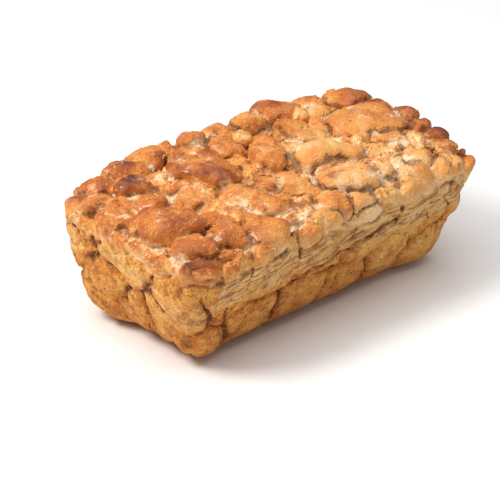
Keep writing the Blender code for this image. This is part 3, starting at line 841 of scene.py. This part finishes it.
class Finish(Nodes):  # a material under construction
    def __init__(self, name):
        self.material = bpy.data.materials.new(name)
        self.material.use_nodes = True
        super().__init__(self.material.node_tree)
        self.place = self.node("ShaderNodeTexCoord", None, "Object")

    def noise(self, cell, detail, rough, where=None):  # cell in millimetres
        return self.node("ShaderNodeTexNoise", {
            "Vector": where or self.place, "Scale": 1 / (cell * mm), "Detail": detail, "Roughness": rough})

    def cells(self, cell, where=None):  # distance to the nearest seed; Color is a lot drawn for each cell
        return self.node("ShaderNodeTexVoronoi", {"Vector": where or self.place, "Scale": 1 / (cell * mm)})

    def shifted(self, x, y, z, stretch=(1, 1, 1), where=None):
        return self.node("ShaderNodeMapping", {
            "Vector": where or self.place, "Location": (x, y, z), "Scale": stretch})

    def mixed(self, amount, first, second):
        return self.node("ShaderNodeMix", {0: amount, 6: first, 7: second}, 2, data_type="RGBA")

    def ramp(self, stops, along):  # colours along a number
        tint = self.node("ShaderNodeValToRGB", {0: along})
        elements = tint.socket.node.color_ramp.elements
        while len(elements) < len(stops):
            elements.new(0.5)
        for element, (position, *parts) in zip(elements, stops):
            element.position = position
            element.color = colour(*parts)
        return tint

    def painted(self, name, output="Color"):
        return self.node("ShaderNodeAttribute", None, output, attribute_name=name)

    def split(self, tint):  # the three numbers in a colour
        parts = self.node("ShaderNodeSeparateColor", {0: tint})
        return [parts.beside(index) for index in range(3)]

    def bump(self, height, depth):  # depth in millimetres
        return self.node("ShaderNodeBump", {"Height": height, "Distance": depth * mm, "Strength": 1.0})

    def finished(self, values):
        self.feed(self.tree.nodes["Principled BSDF"], values)
        return self.material


def softly(weight, radius, scale):  # how far light spreads under a surface
    return {"Subsurface Weight": weight, "Subsurface Radius": radius, "Subsurface Scale": scale}


crustColours = {
    "top": [(0.0, 250, 206, 148), (0.2, 243, 182, 108), (0.44, 228, 150, 74), (0.66, 200, 114, 50),
            (0.84, 158, 82, 40), (1.0, 98, 50, 32)],
    "wall": [(0.0, 250, 204, 134), (0.3, 236, 170, 82), (0.55, 212, 132, 50), (0.8, 160, 86, 34),
             (1.0, 98, 50, 24)],
    # The dark seam colour at nugget borders, wall creases and cracks is partly painted shade
    "cinnamon": (158, 84, 46), "seamAndShade": (104, 46, 24), "speck": (92, 44, 26), "sugar": (252, 226, 190),
    "strand": (250, 206, 148), "streak": (150, 90, 54),
}

# Dark specks: cell, shift, least lot that shows, size, more of it on the walls, unevenness, soft edge
coarseSpecks = (3.1, (0, 0, 0), 0.35, 0.14, 0.0, 0.12, (-0.02, 0.04))
fineSpecks = (1.4, (0.2, 0.1, 0.3), 0.5, 0.22, 0.08, 0.2, (-0.04, 0.08))


def specked(crust, grain, onWall, cell, shift, least, size, wallSize, uneven, edge):
    dots = crust.cells(cell, crust.shifted(*shift))
    lot = crust.split(dots.beside("Color"))[0].clear(least, 1.0)
    return 1 - (dots + (grain - 0.5) * uneven - lot * (onWall * wallSize + size)).clear(*edge)


def bakedCrust():
    crust = Finish("bakedCrust")
    bake, swirlAndShade, sugar = crust.split(crust.painted("dough"))
    finish = crust.painted("finish")
    gloss, onWall, band = crust.split(finish)
    coarse = finish.beside("Alpha")
    topSeam, wallSeam, crack = crust.split(crust.painted("seams"))
    drawn = crust.shifted(0, 0, 0, (0.15, 1.0, 0.3), crust.painted("pull", "Vector"))
    fibres = crust.noise(1.2, 3.0, 0.65, drawn)
    streaks = crust.noise(2.6, 4.0, 0.65, drawn)
    mottle = crust.noise(3.2, 3.0, 0.6)
    grain = crust.noise(1.25, 2.0, 0.65)
    broken = crust.noise(6.5, 4.0, 0.65, crust.shifted(0.31, 0.12, 0.07))
    level = bake + (mottle - 0.5) * (coarse * 0.5 + onWall * 0.45 + 0.14)
    level = level + (grain - 0.5) * (coarse * 0.4 + onWall * 0.4 + 0.16)
    level = level + (broken - 0.5) * (onWall * 0.5 + 0.28)
    frosting = (sugar * 1.1 + (broken - 0.5) * 2.2 + (grain - 0.5) * 1.2 - 0.3).clear(0.0, 0.8)
    # smear lays the cinnamon colour over real cinnamon and over the painted shade of the hollows and cracks
    smear = (swirlAndShade * 1.1 + (mottle - 0.5) * 1.8 - 0.12).clear(0.1, 0.9)
    ragged = (broken - 0.5) * 5.0 + (grain - 0.5) * 2.0
    # Dark lines along nugget borders, wall creases and cracks: partly dark crust and cinnamon, partly painted
    # shade in those creases
    topLine = 1 - (topSeam * seamReach + ragged).clear(0.5, 1.7)
    wallLine = 1 - (wallSeam * seamReach + ragged).clear(0.3, 1.5)
    seamAndShade = (topLine * (1 - onWall) * 0.75 + wallLine * onWall * 0.9) * (1 - sugar * 0.4)
    seamAndShade = seamAndShade + (crack + (broken - 0.5) * 1.2).clear(0.35, 0.8) * 0.7
    specks, dust = (specked(crust, grain, onWall, *sort) for sort in (coarseSpecks, fineSpecks))
    flecks = crust.noise(2.3, 3.0, 0.6, crust.shifted(0.6, 0.2, 0.5)).clear(0.6, 0.7)
    top, wall = (crust.ramp(crustColours[name], level) for name in ("top", "wall"))
    base = crust.mixed(onWall, top, wall)
    for amount, tint in (
            ((fibres - 0.47) * 3.6 * band + band * 0.2, "strand"),
            (streaks.clear(0.5, 0.58) * band * 0.75, "streak"), (smear * 0.7, "cinnamon"), (seamAndShade, "seamAndShade"),
            (frosting * 0.8, "sugar"), (specks * 0.85, "speck"), (dust * (onWall * 0.25 + 0.55), "speck"),
            (flecks * onWall * 0.45, "strand")):
        base = crust.mixed(amount, base, colour(*crustColours[tint]))
    skin = crust.noise(0.55, 2.0, 0.5)
    blister = crust.noise(1.7, 2.0, 0.5)
    pores = crust.cells(1.25, crust.shifted(0.05, 0.4, 0.2)).clear(0.0, 0.35)
    creased = crust.noise(2.6, 3.0, 0.6, crust.shifted(0.15, 0.25, 0.35))
    wrinkles = 1 - abs(creased - 0.5) * 8.0
    height = skin * 0.3 + blister * 0.8 + pores * onWall * 0.6 + wrinkles.clear(0.0, 1.0) * 0.35
    height = height + fibres * band * 1.6 - specks * 0.3 - seamAndShade * 0.8
    return crust.finished({
        "Base Color": base, "Normal": crust.bump(height, 0.85),
        "Roughness": 0.54 + onWall * 0.2 - gloss * 0.2 + (mottle - 0.5) * 0.2,
        "Coat Weight": gloss * 0.5, "Coat Roughness": 0.2, "IOR": 1.38,
        **softly(0.06, (1.0, 0.45, 0.2), 0.0015)})


def looseDough(name, stops, rough):  # crumbs and grains: one colour each, from where they lie
    loose = Finish(name)
    skin = loose.noise(0.5, 2.0, 0.6)
    return loose.finished({
        "Base Color": loose.ramp(stops, loose.noise(3.5, 3.0, 0.7)), "Roughness": rough + skin * 0.2,
        "Normal": loose.bump(skin, 0.2), **softly(0.1, (1.0, 0.6, 0.3), 0.001)})


# Scattered over the top: how many a square metre, sizes in millimetres, faces and whether they lie flat
scatter = {
    "doughCrumbs": {
        "where": "crumbs", "density": 90000.0, "small": (0.9, 0.8, 0.6), "large": (2.3, 1.8, 1.3),
        "detail": 2, "seed": 5, "flat": 0.0, "rough": 0.5,
        "stops": [(0.3, 246, 208, 144), (0.5, 236, 172, 96), (0.68, 198, 116, 56)]},
    "sugarGrains": {
        "where": "grains", "density": 260000.0, "small": (0.35, 0.3, 0.2), "large": (0.85, 0.7, 0.35),
        "detail": 1, "seed": 9, "flat": 1.0, "rough": 0.3,
        "stops": [(0.3, 252, 240, 216), (0.55, 248, 228, 196), (0.7, 232, 192, 150)]},
}


def scatterTree():  # bits over a surface, as many as its painted number says
    tree = Growth("scatterDough", "Bits", {
        "Surface": ("Geometry", None), "Where": ("String", "crumbs"), "Density": ("Float", 100000),
        "Small": ("Vector", None), "Large": ("Vector", None), "Detail": ("Int", 1), "Flat": ("Float", 0.0),
        "Seed": ("Int", 1), "Finish": ("Material", None)})
    given = tree.given
    spots = tree.node("GeometryNodeDistributePointsOnFaces", {
        "Mesh": given["Surface"], "Density": tree.named(given["Where"], "FLOAT") * given["Density"],
        "Seed": given["Seed"]}, "Points")
    tumble = tree.chance((0, 0, 0), (math.tau, math.tau, math.tau), given["Seed"])
    tumble = tree.node("FunctionNodeEulerToRotation", {0: tumble})
    turn = {0: given["Flat"], 1: tumble, 2: spots.beside("Rotation")}
    turn = tree.node("GeometryNodeSwitch", turn, input_type="ROTATION")
    size = tree.chance(given["Small"], given["Large"], given["Seed"])
    return tree.finished("Bits", spots, tree.ball, turn, size, given["Finish"])


def scatteredMesh(name, surface, tree):
    bits = scatter[name]
    mesh = changed(surface.copy(), name, "NODES", {"node_group": tree}, {
        "Small": [size * mm for size in bits["small"]], "Large": [size * mm for size in bits["large"]],
        "Finish": looseDough(name, bits["stops"], bits["rough"]),
        **{key.title(): bits[key] for key in ("where", "density", "detail", "flat", "seed")}})
    mesh.shade_smooth()
    return mesh


def candiedApple():
    apple = Finish("candiedApple")
    veins = apple.noise(3.0, 4.0, 0.65, apple.shifted(0.02, 0.03, 0.01, (1.0, 1.0, 0.35)))
    flesh = apple.ramp([(0.3, 240, 200, 134), (0.5, 228, 168, 92), (0.66, 190, 114, 56)], veins)
    dust = (1 - apple.cells(1.4).clear(0.05, 0.2)) * 0.6
    flesh = apple.mixed(dust, flesh, colour(*crustColours["cinnamon"]))
    bumps = apple.noise(1.3, 2.0, 0.5)
    return apple.finished({
        "Base Color": flesh, "Roughness": 0.3 + bumps * 0.2, "Normal": apple.bump(bumps, 0.5),
        "Coat Weight": 0.3, "Coat Roughness": 0.12, "IOR": 1.4, **softly(0.35, (1.0, 0.6, 0.25), 0.003)})


# Apple dice that show in the crust: middle, edge, turns about x, y and z
appleDice = [
    ((10, 36, 75), 13, (20, 10, 35)), ((-42, 36, 70), 11, (15, -12, 10)), ((62, -8, 72), 13, (-18, 14, 25)),
    ((74, -56, 66), 10, (12, 20, 40)), ((88, -57, 66), 10, (-15, 10, 15)), ((28, -58, 67), 11, (20, -15, 30)),
    ((58, 38, 74), 12, (10, -18, 50)),
]
appleShape = {"flatness": (1.0, 0.86, 0.8), "squareness": 2.8, "lumpy": 1.0, "lumpyCell": 4.5, "detail": 5}


def appleMesh(index, material):  # a softened die of apple
    middle, edge, turns = appleDice[index]
    die = bmesh.new()
    bmesh.ops.create_icosphere(die, subdivisions=appleShape["detail"], radius=1.0)
    mesh = bpy.data.meshes.new(f"apple{index + 1}")
    die.to_mesh(mesh)
    die.free()
    points = meshPoints(mesh) * mm
    power = appleShape["squareness"]
    points /= (np.abs(points) ** power).sum(axis=1)[:, None] ** (1 / power)
    points *= np.array(appleShape["flatness"]) * edge / 2
    turn = np.array(Euler([math.radians(value) for value in turns]).to_matrix())
    points = points @ turn.T + middle
    normals = points - middle
    normals /= np.linalg.norm(normals, axis=1)[:, None]
    lumps = appleShape["lumpy"] * clouds(points, appleShape["lumpyCell"], 2, 70 + index)
    points += normals * lumps[:, None]
    putPoints(mesh, points)
    mesh.shade_smooth()
    mesh.materials.append(material)
    return mesh


# Camera, floor and light

view = {"azimuth": -42.2, "elevation": 27.7, "distance": 1.2, "focalPixels": 2034.6,
        "aim": (0.019, 0.0386, 0.0), "imagePixels": 500, "sensor": 36.0, "nearest": 0.05}


def makeCamera():
    turn, rise = math.radians(view["azimuth"]), math.radians(view["elevation"])
    back = Vector((math.sin(turn) * math.cos(rise), -math.cos(turn) * math.cos(rise), math.sin(rise)))
    lens = bpy.data.cameras.new("camera")
    lens.sensor_width = view["sensor"]
    lens.lens = view["focalPixels"] * view["sensor"] / view["imagePixels"]
    lens.clip_start = view["nearest"]
    camera = newObject("camera", lens)
    camera.location = Vector(view["aim"]) + back * view["distance"]
    camera.rotation_euler = back.to_track_quat("Z", "Y").to_euler()
    bpy.context.scene.camera = camera


# Places and sizes in metres; both lamps aim a little above the floor
studio = {
    "keyPower": 10.5, "keyPlace": (-0.68, 0.34, 0.95), "keySize": 0.42, "keyTint": (1.0, 0.97, 0.93),
    "abovePower": 33.0, "abovePlace": (0.0, 0.0, 2.0), "aboveSize": 2.4, "aboveTint": (1, 1, 1),
    "aim": (0, 0, 0.04), "sky": 0.28, "floorHalf": 3.0, "floorTint": (0.9, 0.9, 0.9, 1),
    "floorRough": 0.8,
}


def makeStudio():
    for name, part in (("keyLight", "key"), ("softLightAbove", "above")):
        lamp = bpy.data.lights.new(name, "AREA")
        lamp.shape = "RECTANGLE"
        lamp.size = lamp.size_y = studio[part + "Size"]
        lamp.energy = studio[part + "Power"]
        lamp.color = studio[part + "Tint"]
        piece = newObject(name, lamp)
        piece.location = studio[part + "Place"]
        toLamp = Vector(studio[part + "Place"]) - Vector(studio["aim"])
        piece.rotation_euler = toLamp.to_track_quat("Z", "Y").to_euler()
    world = bpy.data.worlds.new("studio")
    bpy.context.scene.world = world
    world.use_nodes = True
    world.node_tree.nodes["Background"].inputs["Color"].default_value = (1, 1, 1, 1)
    world.node_tree.nodes["Background"].inputs["Strength"].default_value = studio["sky"]
    bpy.context.scene.view_settings.view_transform = "Standard"
    half = studio["floorHalf"]
    floor = bpy.data.meshes.new("floor")
    floor.from_pydata([(-half, -half, 0), (half, -half, 0), (half, half, 0), (-half, half, 0)], [],
                      [(0, 1, 2, 3)])
    pale = {"Base Color": studio["floorTint"], "Roughness": studio["floorRough"]}
    floor.materials.append(Finish("paleFloor").finished(pale))
    newObject("floor", floor)


makeCamera()
makeStudio()

dough = bakedCrust()
shape = joinedMesh([blockMesh(), lumpMesh(nuggets, dough)])
plainPoints = meshPoints(shape)
putPoints(shape, pressed(plainPoints + warpOf(plainPoints)))
shape = changed(shape, "remeshed", "REMESH", {"mode": "VOXEL", "voxel_size": loafShape["voxel"] * mm})
print("remeshed points:", len(shape.vertices))
paintDough(shape, shapeDough(shape))
shape = thinned(shape, loafShape["faces"])
shape.shade_smooth()
shape.materials.clear()
shape.materials.append(dough)
loaf = newObject("loafCrust", shape)
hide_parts("loaf")
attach(loaf, "root")
shape.calc_loop_triangles()
print("loaf triangles:", len(shape.loop_triangles))

bitsTree = scatterTree()
for name in scatter:
    bits = newObject(name, scatteredMesh(name, shape, bitsTree))
    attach(bits, "root")
    bits.data.calc_loop_triangles()
    print(name, "triangles:", len(bits.data.loop_triangles))

appleFlesh = candiedApple()
for index in range(len(appleDice)):
    piece = newObject(f"appleDie{index + 1}", appleMesh(index, appleFlesh))
    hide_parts(f"apple_{index + 1}")
    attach(piece, "root")
print("apple dice:", len(appleDice))
